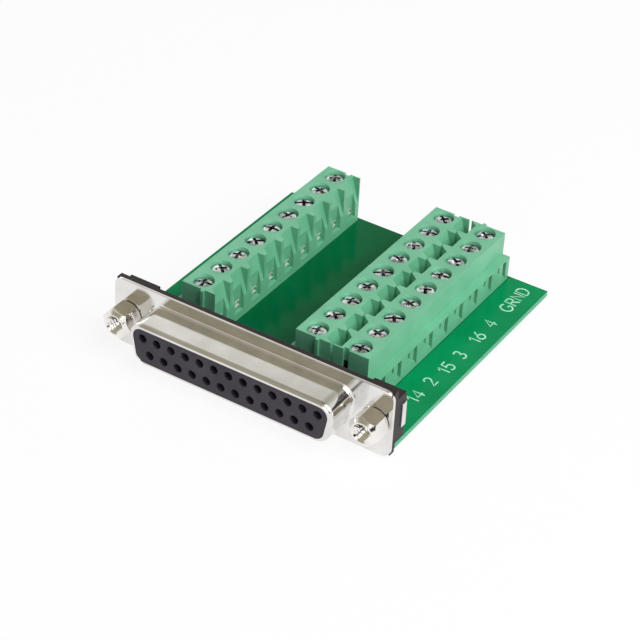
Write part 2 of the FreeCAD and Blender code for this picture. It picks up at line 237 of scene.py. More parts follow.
jack_nickel = plated("jack_nickel", (0.76, 0.73, 0.69), (0.90, 0.88, 0.85), 0.05, 0.14)
# The ridges' pale green-grey tone is a painted highlight: it stands in for the glints of the metal in the
# windows, not the tin's own colour
ridge_painted_glint = plated("ridge_painted_glint", (0.40, 0.54, 0.45), (0.52, 0.66, 0.57), 0.4, 0.55, metallic=0.3)
solder = plated("solder", (0.56, 0.56, 0.57), (0.74, 0.74, 0.74), 0.18, 0.38)
ink = principled("board_ink", (0.45, 0.85, 0.64), 0.55)
drive_color(ink, object_noise(ink, 900), (0.30, 0.78, 0.52), (0.52, 0.90, 0.70))


def dress_frame():
    """Gives every node of the part its finish."""
    for entry in frame["record"]["subparts"]:
        mesh = nodes[entry["node"]].data
        mesh.materials.clear()
        mesh.materials.append(finishes[entry["material_slot"]])


# Softened edges of the part's own nodes

HOUSING_EDGE = 0.07
REAR_EDGE = 0.1
BOARD_EDGE = 0.03
LOCK_EDGE = 0.05


def soften_edges(node, width, segments=2):
    """Joins a node's loose triangles as it is shown, and rounds its corners slightly."""
    weld = node.modifiers.new("join", "WELD")
    weld.merge_threshold = 0.000001
    flatten = node.modifiers.new("flat faces", "DECIMATE")
    flatten.decimate_type = "DISSOLVE"
    flatten.angle_limit = math.radians(1)
    bevel = node.modifiers.new("soft edges", "BEVEL")
    bevel.width = width * MM
    bevel.segments = segments
    bevel.limit_method = "ANGLE"
    bevel.angle_limit = math.radians(32)
    bevel.harden_normals = True


def soften_part():
    """Rounds the corners of the housings, the board and its locks."""
    for name, _, _ in ROWS:
        soften_edges(nodes["terminal_housing_" + name], HOUSING_EDGE)
    soften_edges(nodes["rear_housing"], REAR_EDGE)
    soften_edges(nodes["circuit_board"], BOARD_EDGE, 1)
    for side in ("left", "right"):
        soften_edges(nodes["board_lock_" + side], LOCK_EDGE)


# Meshes

def finished(name, mesh, material, body="adapter"):
    """Object for a mesh that is written in millimetres in the part's own frame."""
    mesh.transform(Matrix.Scale(MM, 4))
    mesh.materials.clear()
    mesh.materials.append(material)
    piece = bpy.data.objects.new(name, mesh)
    bpy.context.scene.collection.objects.link(piece)
    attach(piece, body)
    return piece


def smoothed(mesh, sharp_angle):
    """Smooth shading, with edges past an angle in degrees kept sharp."""
    mesh.shade_smooth()
    mesh.set_sharp_from_angle(angle=math.radians(sharp_angle))
    return mesh


def mesh_from(name, build, sharp_angle=35):
    """Mesh filled by a function that works on a bmesh."""
    mesh = bpy.data.meshes.new(name)
    work = bmesh.new()
    build(work)
    bmesh.ops.recalc_face_normals(work, faces=work.faces)
    work.to_mesh(mesh)
    work.free()
    return smoothed(mesh, sharp_angle)


def stitch(work, first, second):
    """Quads between two loops of equally many points."""
    count = len(first)
    for k in range(count):
        work.faces.new((first[k], first[(k + 1) % count], second[(k + 1) % count], second[k]))


def bridge_rings(work, rings):
    """Quads between rings of equally many points."""
    made = [[work.verts.new(point) for point in ring] for ring in rings]
    for first, second in zip(made, made[1:]):
        stitch(work, first, second)
    return made


def border(work, loop):
    """Edges round a loop of points."""
    return [work.edges.new((loop[k], loop[(k + 1) % len(loop)])) for k in range(len(loop))]


def quarter_turn(steps):
    """Angles from nothing to a quarter turn, in equal steps."""
    return [math.pi / 2 * k / steps for k in range(steps + 1)]


def circle(x, z, radius, steps=32):
    """Points of a circle in the plane of the flange."""
    angles = [2 * math.pi * k / steps for k in range(steps)]
    return [(x + radius * math.cos(angle), z + radius * math.sin(angle)) for angle in angles]


# Pressed front shell

SHELL_WIDTH = 38.38
SHELL_HEIGHT = 7.9
SHELL_CORNER = 2.5
SHELL_LEAN = math.radians(10)
SHEET = 0.45
SHROUD_WALL = 0.8
ROOT_RADIUS = 0.5
LIP_RADIUS = 0.76
LIP_INNER_RADIUS = 0.04
FLANGE_WIDTH = 53.04
FLANGE_HEIGHT = 12.55
FLANGE_CORNER = 1.6
FLANGE_EDGE = 0.12
OPENING_LAP = 0.05
JACK_X = 23.52
JACK_HOLE_RADIUS = 1.5
CORNER_STEPS = 14
FLANGE_CORNER_STEPS = 10


def d_ring(offset, front):
    """Points of the D outline, offset outwards, at a distance behind the flange's front face."""
    radius = SHELL_CORNER + offset
    arc_x = SHELL_WIDTH / 2 - SHELL_CORNER
    arc_z = SHELL_HEIGHT / 2 - SHELL_CORNER
    narrow = 2 * arc_z * math.tan(SHELL_LEAN)
    corners = ((arc_x, arc_z, -SHELL_LEAN, math.pi / 2),
               (-arc_x, arc_z, math.pi / 2, math.pi + SHELL_LEAN),
               (-arc_x + narrow, -arc_z, math.pi + SHELL_LEAN, 1.5 * math.pi),
               (arc_x - narrow, -arc_z, 1.5 * math.pi, 2 * math.pi - SHELL_LEAN))
    ring = []
    for x, z, start, stop in corners:
        for k in range(CORNER_STEPS + 1):
            angle = start + (stop - start) * k / CORNER_STEPS
            ring.append((x + radius * math.cos(angle), behind(front),
                         AXIS_HEIGHT + z + radius * math.sin(angle)))
    return ring


def shroud_rings():
    """Section of the shroud: out along the inside, round the lip, back outside and out at the root."""
    rings = [d_ring(-SHROUD_WALL, SHEET)]
    for angle in quarter_turn(4):
        rings.append(d_ring(-SHROUD_WALL + LIP_INNER_RADIUS * (1 - math.cos(angle)),
                            LIP_INNER_RADIUS * (1 - math.sin(angle)) - SHELL_REACH))
    for angle in quarter_turn(6):
        rings.append(d_ring(-LIP_RADIUS * (1 - math.sin(angle)),
                            LIP_RADIUS * (1 - math.cos(angle)) - SHELL_REACH))
    for angle in quarter_turn(8):
        rings.append(d_ring(ROOT_RADIUS * (1 - math.cos(angle)), -ROOT_RADIUS * (1 - math.sin(angle))))
    rings.append(d_ring(ROOT_RADIUS, SHEET))
    return rings


def flange_outline():
    """Corner points of the flange, rounded."""
    half_width = FLANGE_WIDTH / 2
    half_height = FLANGE_HEIGHT / 2
    outline = []
    for sx, sz, start in ((1, 1, 0), (-1, 1, 90), (-1, -1, 180), (1, -1, 270)):
        for k in range(FLANGE_CORNER_STEPS + 1):
            angle = math.radians(start + 90 * k / FLANGE_CORNER_STEPS)
            x = sx * (half_width - FLANGE_CORNER) + FLANGE_CORNER * math.cos(angle)
            z = sz * (half_height - FLANGE_CORNER) + FLANGE_CORNER * math.sin(angle)
            outline.append((x, AXIS_HEIGHT + z))
    return outline


def plate_with_holes(work, outline, holes, front, back, edge):
    """Flat plate between two planes, with a small chamfer round its front."""
    centre = Vector((0, AXIS_HEIGHT))
    inner = []
    for point in outline:
        spoke = Vector(point) - centre
        inner.append(tuple(centre + spoke * (1 - edge / spoke.length)))
    sides = []
    for y, rim in ((front, inner), (back, outline)):
        edges = []
        loops = []
        for points in [rim] + holes:
            made = [work.verts.new((x, y, z)) for x, z in points]
            loops.append(made)
            edges += border(work, made)
        bmesh.ops.triangle_fill(work, use_beauty=True, edges=edges)
        sides.append(loops)
    middle = [work.verts.new((x, front + edge, z)) for x, z in outline]
    stitch(work, sides[0][0], middle)
    stitch(work, middle, sides[1][0])
    for first, second in zip(sides[0][1:], sides[1][1:]):
        stitch(work, first, second)


def front_shell():
    """Shroud and flange of the socket, with a rolled lip and a rounded root."""
    def shroud(work):
        bridge_rings(work, shroud_rings())

    def flange(work):
        opening = [(x, z) for x, y, z in d_ring(ROOT_RADIUS - OPENING_LAP, 0)]
        jacks = [circle(x, AXIS_HEIGHT, JACK_HOLE_RADIUS) for x in (-JACK_X, JACK_X)]
        plate_with_holes(work, flange_outline(), [opening] + jacks, behind(0), behind(SHEET), FLANGE_EDGE)

    steel = finishes["plated_steel"]
    pieces = [finished("shell_shroud", mesh_from("shell_shroud", shroud, 50), steel),
              finished("shell_flange", mesh_from("shell_flange", flange, 30), steel)]
    for piece in pieces:
        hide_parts("front_shell")


# Face of the contact insulator

INSULATOR_RECESS = 0.15
INSULATOR_SLACK = 0.05
FACE_SKIN = 0.1
MOUTH_RADIUS = 0.75
MOUTH_RIM = 0.82
MOUTH_BEVEL = 0.09
MOUTH_DEPTH = 1.35
MOUTH_SIDES = 28


def contact_places():
    """(x, z) of the 25 contacts."""
    return [(x, AXIS_HEIGHT + side * CONTACT_ROW_GAP / 2)
            for count, side in CONTACT_ROWS for x in contact_row(count)]


def insulator_face():
    """Thin skin over the insulator's face, with a round bevelled mouth for every contact."""
    front = INSULATOR_RECESS - SHELL_REACH - FACE_SKIN
    y = behind(front)

    def mouth_ring(work, x, z, radius, depth):
        return [work.verts.new((px, y + depth, pz)) for px, pz in circle(x, z, radius, MOUTH_SIDES)]

    def build(work):
        loops = [[work.verts.new(point) for point in d_ring(-SHROUD_WALL - INSULATOR_SLACK, front)]]
        for x, z in contact_places():
            loops.append(mouth_ring(work, x, z, MOUTH_RIM, 0))
        edges = []
        for loop in loops:
            edges += border(work, loop)
        bmesh.ops.triangle_fill(work, use_beauty=True, edges=edges)
        for (x, z), last in zip(contact_places(), loops[1:]):
            for depth in (MOUTH_BEVEL, MOUTH_DEPTH):
                ring = mouth_ring(work, x, z, MOUTH_RADIUS, depth)
                stitch(work, last, ring)
                last = ring

    face = mesh_from("insulator_face", build)
    finished("insulator_face", face, finishes["dark_moulding"])


# Jack sockets

JACK_FLAT = 2.4
JACK_REACH = 4.13
JACK_TIP_RADIUS = 2.0
JACK_TIP_EDGE = 0.04
JACK_FOOT_RADIUS = 2.36
JACK_TURNS = (("left", -JACK_X, 19), ("right", JACK_X, 15))
THREAD_ROOT = 1.5
THREAD_CREST = 1.14
THREAD_PITCH = 0.635
THREAD_DEPTH = 3.4
THREAD_RUNOUT = 0.1
THREAD_STEPS = 30
COUNTERSINK = 0.3
SINK_RADIUS = 1.7
FOOT_GAP = 0.12
NECK_RADIUS = 2.1
STUD_RADIUS = 1.4
STUD_LENGTH = 3.4
CENTRE_RADIUS = 0.02
TURN_STEPS = 72


def jack_rings(x, turn):
    """Rings of one jack socket, from the bottom of its threaded bore round the hexagon to its stud."""
    angles = [turn + 2 * math.pi * k / TURN_STEPS for k in range(TURN_STEPS)]
    sector = math.pi / 3

    def flats(angle):
        return JACK_FLAT / math.cos((angle - turn + sector / 2) % sector - sector / 2)

    def ring(radius, back):
        points = []
        for angle in angles:
            r = radius(angle) if callable(radius) else radius
            b = back(angle) if callable(back) else back
            points.append((x + r * math.cos(angle), behind(b), AXIS_HEIGHT + r * math.sin(angle)))
        return points

    def thread(depth):
        def radius(angle):
            phase = (depth / THREAD_PITCH - angle / (2 * math.pi)) % 1
            return THREAD_ROOT - (THREAD_ROOT - THREAD_CREST) * (1 - abs(2 * phase - 1))
        return radius

    tip = -JACK_REACH
    rings = [ring(CENTRE_RADIUS, tip + THREAD_DEPTH), ring(THREAD_ROOT, tip + THREAD_DEPTH)]
    for k in range(THREAD_STEPS + 1):
        depth = COUNTERSINK + (THREAD_DEPTH - COUNTERSINK - THREAD_RUNOUT) * (1 - k / THREAD_STEPS)
        rings.append(ring(thread(depth), tip + depth))
    rings += [ring(SINK_RADIUS, tip),
              ring(JACK_TIP_RADIUS - JACK_TIP_EDGE, tip),
              ring(JACK_TIP_RADIUS, tip + JACK_TIP_EDGE),
              ring(flats, lambda angle: tip + flats(angle) - JACK_TIP_RADIUS),
              ring(flats, lambda angle: min(0, JACK_FOOT_RADIUS - flats(angle)) - FOOT_GAP),
              ring(lambda angle: min(flats(angle), JACK_FOOT_RADIUS), -FOOT_GAP),
              ring(NECK_RADIUS, -FOOT_GAP),
              ring(NECK_RADIUS, 0),
              ring(STUD_RADIUS, 0),
              ring(STUD_RADIUS, STUD_LENGTH),
              ring(CENTRE_RADIUS, STUD_LENGTH)]
    return rings


def jack_sockets():
    """Hexagonal jack sockets with threaded bores, each turned as it stands in the flange."""
    for side, x, turn in JACK_TURNS:
        rings = jack_rings(x, math.radians(turn))
        mesh = mesh_from("jack_" + side, lambda work: bridge_rings(work, rings), 28)
        piece = finished("dressed_jack_" + side, mesh, jack_nickel)
        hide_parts("jack_socket_" + side)


# Details of the terminal housings

SCREW_SHOULDER = 7.35
SHOULDER_LAP = 0.02
WELL_RADIUS = 1.825
WELL_STEPS = 40
RIM_RADIUS = 2.02
RIM_HEIGHT = 0.04
RIM_SINK = 0.02
RIM_SHARE = 0.7
RIM_STEP = 0.02
RIM_OUTER_ROUND = 0.05
RIM_INNER_ROUND = 0.06
WINDOW_BACK = 2.75
WINDOW_MIDDLE = 0.05
RIDGE_LENGTH = 1.6
RIDGE_REACH = 0.52
RIDGE_HEIGHTS = (1.95, 2.95)

# A ridge's corners: share of its reach, and height about its middle
RIDGE_SECTION = ((0, 0.42), (1, 0.14), (1, -0.06), (0, -0.2))


def lathe(work, x, y, profile):
    """Surface turned about a vertical axis from (radius, height) pairs."""
    angles = [2 * math.pi * k / WELL_STEPS for k in range(WELL_STEPS)]
    bridge_rings(work, [[(x + radius * math.cos(angle), y + radius * math.sin(angle), height)
                         for angle in angles] for radius, height in profile])


def well_profile():
    """Rim round a screw well, from its outer foot over its top and down the wall to the shoulder."""
    top = BOARD_TOP + BLOCK_HEIGHT
    rounded = top + RIM_HEIGHT * RIM_SHARE
    crest = top + RIM_HEIGHT
    return [(RIM_RADIUS, top - RIM_SINK),
            (RIM_RADIUS - RIM_STEP, rounded),
            (RIM_RADIUS - RIM_OUTER_ROUND, crest),
            (WELL_RADIUS + RIM_INNER_ROUND, crest),
            (WELL_RADIUS + RIM_STEP, rounded),
            (WELL_RADIUS, top),
            (WELL_RADIUS, BOARD_TOP + SCREW_SHOULDER + SHOULDER_LAP)]


def add_ridge(work, x, y, z, facing):
    """One bar of metal that stands out of a window at the back of a pole."""
    section = [(x - facing * (WINDOW_BACK + RIDGE_REACH * share), z + rise)
               for share, rise in RIDGE_SECTION]
    ends = [[(px, y + side * RIDGE_LENGTH / 2, pz) for px, pz in section] for side in (-1, 1)]
    for ring in bridge_rings(work, ends):
        work.faces.new(ring)


def housing_details():
    """Smooth walls and slightly raised rims of the screw wells, and ridged metal in the windows."""
    green = finishes["green_moulding"]
    for name, x, facing in ROWS:
        def wells(work):
            for back in pole_backs():
                lathe(work, x, behind(back), well_profile())

        def ridges(work):
            for back in pole_backs():
                for height in RIDGE_HEIGHTS:
                    add_ridge(work, x, behind(back) + facing * WINDOW_MIDDLE, BOARD_TOP + height, facing)

        finished("well_rims_" + name, mesh_from("well_rims", wells, 40), green)
        metal = mesh_from("window_ridges", ridges, 20)
        finished("window_ridges_" + name, metal, ridge_painted_glint)


# Node trees

def feed(tree, socket, value):
    """Gives a socket a plain number, or links another node's output to it."""
    if isinstance(value, (int, float)):
        socket.default_value = value
    else:
        tree.links.new(value, socket)


def end_tree(tree, geometry, finish, output):
    """Ends a tree: real geometry, its finish, and the named output."""
    real = tree.nodes.new("GeometryNodeRealizeInstances")
    tree.links.new(geometry, real.inputs["Geometry"])
    coat = tree.nodes.new("GeometryNodeSetMaterial")
    tree.links.new(real.outputs["Geometry"], coat.inputs["Geometry"])
    tree.links.new(finish, coat.inputs["Material"])
    tree.links.new(coat.outputs["Geometry"], tree.nodes.new("NodeGroupOutput").inputs[output])


def evaluated_mesh(holder):
    """Plain mesh of what an object shows; the object itself is removed."""
    bpy.context.view_layer.update()
    shown = holder.evaluated_get(bpy.context.evaluated_depsgraph_get())
    mesh = bpy.data.meshes.new_from_object(shown)
    bpy.data.objects.remove(holder)
    return mesh


def grown_mesh(name, tree, values, bevel_width=0.0, places=()):
    """Plain mesh of a tree's result, with its inputs set by name before it is first evaluated."""
    seed = bpy.data.meshes.new(name + "_seed")
    seed.from_pydata(list(places), [], [])
    holder = bpy.data.objects.new(name, seed)
    bpy.context.scene.collection.objects.link(holder)
    grow = holder.modifiers.new("grow", "NODES")
    grow.node_group = tree
    for item in tree.interface.items_tree:
        if item.in_out == "INPUT" and item.name in values:
            grow[item.identifier] = values[item.name]
    if bevel_width:
        bevel = holder.modifiers.new("soft edges", "BEVEL")
        bevel.width = bevel_width
        bevel.segments = 2
        bevel.limit_method = "ANGLE"
        bevel.angle_limit = math.radians(40)
        bevel.harden_normals = True
    mesh = evaluated_mesh(holder)
    mesh.name = name
    return mesh


# Clamp screws

HEAD_RADIUS = 1.64
HEAD_HEIGHT = 1.1
HEAD_CROWN = 0.3
HEAD_SIDES = 40
HEAD_EDGE = 0.07
CROWN_FIT = 0.999
SLOT_WIDTH = 0.5
SLOT_DEPTH = 0.45
CROSS_SPAN = 2.0
CROSS_WIDTH = 0.56
CROSS_DEPTH_SHARE = 1.5
SHANK_RADIUS = 1.22
SHANK_LENGTH = 3.5
SHANK_SIDES = 16
SCREW_TURNS = (12, 75, 140, 33, 98, 160, 51, 118, 4)

# Steps through the turns from pole to pole and from row to row, so that neighbours differ
POLE_STEP = 2
ROW_STEP = 4


def screw_tree():
    """Domed head with a slot and a cross recess on a plain shank, placed and turned by its inputs."""
    tree = bpy.data.node_groups.new("clamp_screw", "GeometryNodeTree")
    for name, default in (("Head radius", HEAD_RADIUS), ("Head height", HEAD_HEIGHT),
                          ("Crown", HEAD_CROWN), ("Slot width", SLOT_WIDTH),
                          ("Slot depth", SLOT_DEPTH), ("Cross span", CROSS_SPAN),
                          ("Cross width", CROSS_WIDTH), ("Turn", 0.0)):
        socket = tree.interface.new_socket(name=name, in_out="INPUT", socket_type="NodeSocketFloat")
        socket.default_value = default
    for name, kind in (("Place", "NodeSocketVector"), ("Finish", "NodeSocketMaterial")):
        tree.interface.new_socket(name=name, in_out="INPUT", socket_type=kind)
    tree.interface.new_socket(name="Screw", in_out="OUTPUT", socket_type="NodeSocketGeometry")
    given = tree.nodes.new("NodeGroupInput").outputs

    def calculated(operation, first, second):
        node = tree.nodes.new("ShaderNodeMath")
        node.operation = operation
        for socket, value in zip(node.inputs, (first, second)):
            feed(tree, socket, value)
        return node.outputs[0]

    def vector(x, y, z):
        node = tree.nodes.new("ShaderNodeCombineXYZ")
        for socket, value in zip(node.inputs, (x, y, z)):
            feed(tree, socket, value)
        return node.outputs[0]

    def moved(geometry, offset, turn=None, scale=None):
        node = tree.nodes.new("GeometryNodeTransform")
        tree.links.new(geometry, node.inputs["Geometry"])
        tree.links.new(offset, node.inputs["Translation"])
        for socket, value in (("Rotation", turn), ("Scale", scale)):
            if value is not None:
                tree.links.new(value, node.inputs[socket])
        return node.outputs["Geometry"]

    def bar(x, y, z):
        node = tree.nodes.new("GeometryNodeMeshCube")
        tree.links.new(vector(x, y, z), node.inputs["Size"])
        return node.outputs["Mesh"]

    def rod(radius, height, sides):
        node = tree.nodes.new("GeometryNodeMeshCylinder")
        node.inputs["Vertices"].default_value = sides
        feed(tree, node.inputs["Radius"], radius)
        feed(tree, node.inputs["Depth"], height)
        return node.outputs["Mesh"]

    def domed_head():
        side = calculated("SUBTRACT", given["Head height"], given["Crown"])
        low = calculated("SUBTRACT", calculated("MULTIPLY", side, -0.5), given["Crown"])
        ball = tree.nodes.new("GeometryNodeMeshUVSphere")
        ball.inputs["Segments"].default_value = HEAD_SIDES
        ball.inputs["Rings"].default_value = HEAD_SIDES // 2
        tree.links.new(given["Head radius"], ball.inputs["Radius"])
        dome = vector(CROWN_FIT, CROWN_FIT, calculated("DIVIDE", given["Crown"], given["Head radius"]))
        sunk = vector(0, 0, calculated("MULTIPLY", given["Crown"], -1))
        body = moved(rod(given["Head radius"], side, HEAD_SIDES), vector(0, 0, low))
        whole = tree.nodes.new("GeometryNodeMeshBoolean")
        whole.operation = "UNION"
        tree.links.new(body, whole.inputs["Mesh 2"])
        tree.links.new(moved(ball.outputs["Mesh"], sunk, scale=dome), whole.inputs["Mesh 2"])
        return whole.outputs["Mesh"]

    deep = calculated("MULTIPLY", given["Slot depth"], 2)
    deeper = calculated("MULTIPLY", deep, CROSS_DEPTH_SHARE)
    across = calculated("MULTIPLY", given["Head radius"], 3)
    cut = tree.nodes.new("GeometryNodeMeshBoolean")
    cut.operation = "DIFFERENCE"
    tree.links.new(domed_head(), cut.inputs["Mesh 1"])
    for cutter in (bar(across, given["Slot width"], deep),
                   bar(given["Cross width"], given["Cross span"], deeper),
                   bar(given["Cross span"], given["Cross width"], deeper)):
        tree.links.new(cutter, cut.inputs["Mesh 2"])
    shank = moved(rod(SHANK_RADIUS, SHANK_LENGTH, SHANK_SIDES),
                  vector(0, 0, -HEAD_HEIGHT - SHANK_LENGTH / 2))
    both = tree.nodes.new("GeometryNodeJoinGeometry")
    tree.links.new(cut.outputs["Mesh"], both.inputs["Geometry"])
    tree.links.new(shank, both.inputs["Geometry"])
    placed = moved(both.outputs["Geometry"], given["Place"], vector(0, 0, given["Turn"]))
    end_tree(tree, placed, given["Finish"], "Screw")
    return tree


def clamp_screws():
    """A dressed screw in every pole, each turned differently from its neighbours."""
    tree = screw_tree()
    for row, (name, x, _) in enumerate(ROWS):
        for k, back in enumerate(pole_backs()):
            label = "screw_%s_%d" % (name, k + 1)
            turn = SCREW_TURNS[(k * POLE_STEP + row * ROW_STEP) % len(SCREW_TURNS)]
            values = {"Place": (x, behind(back), BOARD_TOP + HEAD_TOP), "Turn": math.radians(turn),
                      "Finish": screw_zinc}
            mesh = smoothed(grown_mesh(label, tree, values, HEAD_EDGE), 34)
            piece = finished("dressed_" + label, mesh, screw_zinc, label)
            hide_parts("clamp_screw_%s_%d" % (name, k + 1))


# Ink on the board

LABELS = (("14", 22.85, 13.9), ("2", 22.75, 18.6), ("15", 23.1, 23.3), ("3", 23.1, 27.7),
          ("16", 23.05, 33.6), ("4", 22.85, 38.4), ("GRND", 22.9, 46.9))
LETTER_HEIGHT = 2.2
LETTER_GAP = 0.24
STROKE_WIDTH = 0.34
INK_RISE = 0.03


def arc(x, y, across, up, start, stop, steps=12):
    """Points of part of an ellipse, from one angle to another in degrees."""
    angles = [math.radians(start + (stop - start) * k / steps) for k in range(steps + 1)]
    return [(x + across * math.cos(a), y + up * math.sin(a)) for a in angles]


# Width and strokes of each character, for a height of one
CHARACTERS = {
    "1": (0.34, [[(0, 0.76), (0.26, 1), (0.26, 0)]]),
    "2": (0.62, [arc(0.3, 0.71, 0.28, 0.29, 165, -35) + [(0.02, 0), (0.62, 0)]]),
    "3": (0.58, [arc(0.27, 0.76, 0.25, 0.24, 145, -90), arc(0.27, 0.26, 0.3, 0.26, 90, -145)]),
    "4": (0.68, [[(0.5, 0), (0.5, 1), (0, 0.3), (0.68, 0.3)]]),
    "5": (0.6, [[(0.56, 1), (0.1, 1), (0.06, 0.57)] + arc(0.27, 0.31, 0.31, 0.31, 130, -145)]),
    "6": (0.6, [[(0.5, 1)] + arc(0.3, 0.3, 0.3, 0.3, 155, -180, 18) + [(0.03, 0.42)]]),
    "G": (0.82, [arc(0.42, 0.5, 0.42, 0.5, 48, 325, 16) + [(0.82, 0.45), (0.52, 0.45)]]),
    "R": (0.62, [[(0, 0), (0, 1)] + arc(0.34, 0.75, 0.25, 0.25, 90, -90) + [(0, 0.5)],
                 [(0.3, 0.5), (0.62, 0)]]),
    "N": (0.62, [[(0, 0), (0, 1), (0.62, 0), (0.62, 1)]]),
    "D": (0.66, [[(0, 0), (0, 1)] + arc(0.26, 0.5, 0.4, 0.5, 90, -90) + [(0, 0)]]),
}


def written(text):
    """Mesh of a word in round strokes, centred on its own origin."""
    curve = bpy.data.curves.new("label_" + text, "CURVE")
    curve.dimensions = "3D"
    curve.bevel_depth = STROKE_WIDTH / 2
    curve.bevel_resolution = 1
    curve.use_fill_caps = True
    pen = -sum(CHARACTERS[c][0] + LETTER_GAP for c in text) / 2 + LETTER_GAP / 2
    for character in text:
        width, strokes = CHARACTERS[character]
        for stroke in strokes:
            line = curve.splines.new("POLY")
            line.points.add(len(stroke) - 1)
            for point, (px, py) in zip(line.points, stroke):
                point.co = ((pen + px) * LETTER_HEIGHT, (py - 0.5) * LETTER_HEIGHT, 0, 1)
        pen += width + LETTER_GAP
    holder = bpy.data.objects.new("label", curve)
    bpy.context.scene.collection.objects.link(holder)
    return evaluated_mesh(holder)


def board_labels():
    """Pin numbers and the ground mark beside the right row, read from the board's right edge."""
    flat = Matrix.Diagonal((1, 1, INK_RISE * 2 / STROKE_WIDTH, 1))
    turn = Matrix.Rotation(math.pi / 2, 4, "Z")
    for text, x, back in LABELS:
        mesh = written(text)
        mesh.transform(Matrix.Translation((x, behind(back), BOARD_TOP)) @ turn @ flat)
        finished("label_" + text, mesh, ink)


# Solder on the underside

TAIL_BACKS = (5.14, 2.6)
PIN_BACK = 2.5
LOCK_LEG = (25.435, 3.6)
PAD_RADIUS = 0.85
PAD_THICKNESS = 0.04
JOINT_RADIUS = 0.78
JOINT_TIP = 0.42
JOINT_HEIGHT = 0.75
JOINT_SIDES = 20
JOINT_RINGS = 3


def solder_tree():
    """A flat pad and a tapering solder joint under it at every place that is given."""
    tree = bpy.data.node_groups.new("solder_joints", "GeometryNodeTree")
    tree.interface.new_socket(name="Places", in_out="INPUT", socket_type="NodeSocketGeometry")
    for name, default in (("Pad radius", PAD_RADIUS), ("Joint radius", JOINT_RADIUS),
                          ("Joint tip", JOINT_TIP), ("Joint height", JOINT_HEIGHT)):
        socket = tree.interface.new_socket(name=name, in_out="INPUT", socket_type="NodeSocketFloat")
        socket.default_value = default
    tree.interface.new_socket(name="Finish", in_out="INPUT", socket_type="NodeSocketMaterial")
    tree.interface.new_socket(name="Joints", in_out="OUTPUT", socket_type="NodeSocketGeometry")
    given = tree.nodes.new("NodeGroupInput").outputs

    def cone(low, high, height):
        node = tree.nodes.new("GeometryNodeMeshCone")
        node.inputs["Vertices"].default_value = JOINT_SIDES
        node.inputs["Side Segments"].default_value = JOINT_RINGS
        for key, value in (("Radius Bottom", low), ("Radius Top", high), ("Depth", height)):
            feed(tree, node.inputs[key], value)
        return node.outputs["Mesh"]

    joint = cone(given["Joint radius"], given["Joint tip"], given["Joint height"])
    flip = tree.nodes.new("GeometryNodeTransform")
    flip.inputs["Rotation"].default_value = (math.pi, 0, 0)
    tree.links.new(joint, flip.inputs["Geometry"])
    pad = cone(given["Pad radius"], given["Pad radius"], PAD_THICKNESS)
    lowered = tree.nodes.new("GeometryNodeTransform")
    lowered.inputs["Translation"].default_value = (0, 0, -PAD_THICKNESS)
    tree.links.new(pad, lowered.inputs["Geometry"])
    both = tree.nodes.new("GeometryNodeJoinGeometry")
    tree.links.new(flip.outputs["Geometry"], both.inputs["Geometry"])
    tree.links.new(lowered.outputs["Geometry"], both.inputs["Geometry"])
    spots = tree.nodes.new("GeometryNodeMeshToPoints")
    tree.links.new(given["Places"], spots.inputs["Mesh"])
    spread = tree.nodes.new("GeometryNodeInstanceOnPoints")
    tree.links.new(spots.outputs["Points"], spread.inputs["Points"])
    tree.links.new(both.outputs["Geometry"], spread.inputs["Instance"])
    end_tree(tree, spread.outputs["Instances"], given["Finish"], "Joints")
    return tree


def solder_joints():
    """Joints round every contact tail, terminal pin and lock leg, under the board."""
    places = []
    for (count, _), back in zip(CONTACT_ROWS, TAIL_BACKS):
        places += [(x, behind(back), BOARD_BOTTOM) for x in contact_row(count)]
    for _, x, facing in ROWS:
        places += [(x - facing * PIN_BACK, behind(back), BOARD_BOTTOM) for back in pole_backs()]
    places += [(side * LOCK_LEG[0], behind(LOCK_LEG[1]), BOARD_BOTTOM) for side in (-1, 1)]
    mesh = grown_mesh("solder_joints", solder_tree(), {"Finish": solder}, places=places)
    finished("solder_joints", smoothed(mesh, 40), solder)


# Studio

CAMERA_AZIMUTH = 30.803
CAMERA_ELEVATION = 35.849
CAMERA_ROLL = 3.341
CAMERA_DISTANCE = 330.022
CAMERA_SHIFT = (-11.242, -7.154)
CAMERA_LENS = 117.418
SENSOR_WIDTH = 36

# Height of a direction in the surround, and its tone
ROOM_ENDS = ((0.0, (1, 1, 1)), (1.0, (0.22, 0.20, 0.17)))
ROOM_STEPS = ((0.25, (0.98, 0.97, 0.95)), (0.5, (0.93, 0.91, 0.87)),
              (0.62, (0.90, 0.89, 0.84)), (0.8, (0.50, 0.48, 0.43)))

# Direction of each dark screen, the closeness at its rim and in its middle, and its tone
DARK_SCREENS = (((-0.35, -0.72, 0.60), 0.75, 0.93, (0.40, 0.37, 0.28)),
                ((0.64, -0.64, 0.42), 0.91, 0.97, (0.03, 0.025, 0.02)))
AMBIENT = 0.22
PAPER_GLOW = 0.88
FLOOR_REACH = 1.2

# Name, place and size in metres, and watts
LAMPS = (("key", (0.58, -0.12, 0.70), 0.8, 9.0), ("fill", (0.25, -0.9, 0.2), 0.7, 1.6),
         ("back", (-0.8, 0.5, 0.2), 0.6, 1.2))


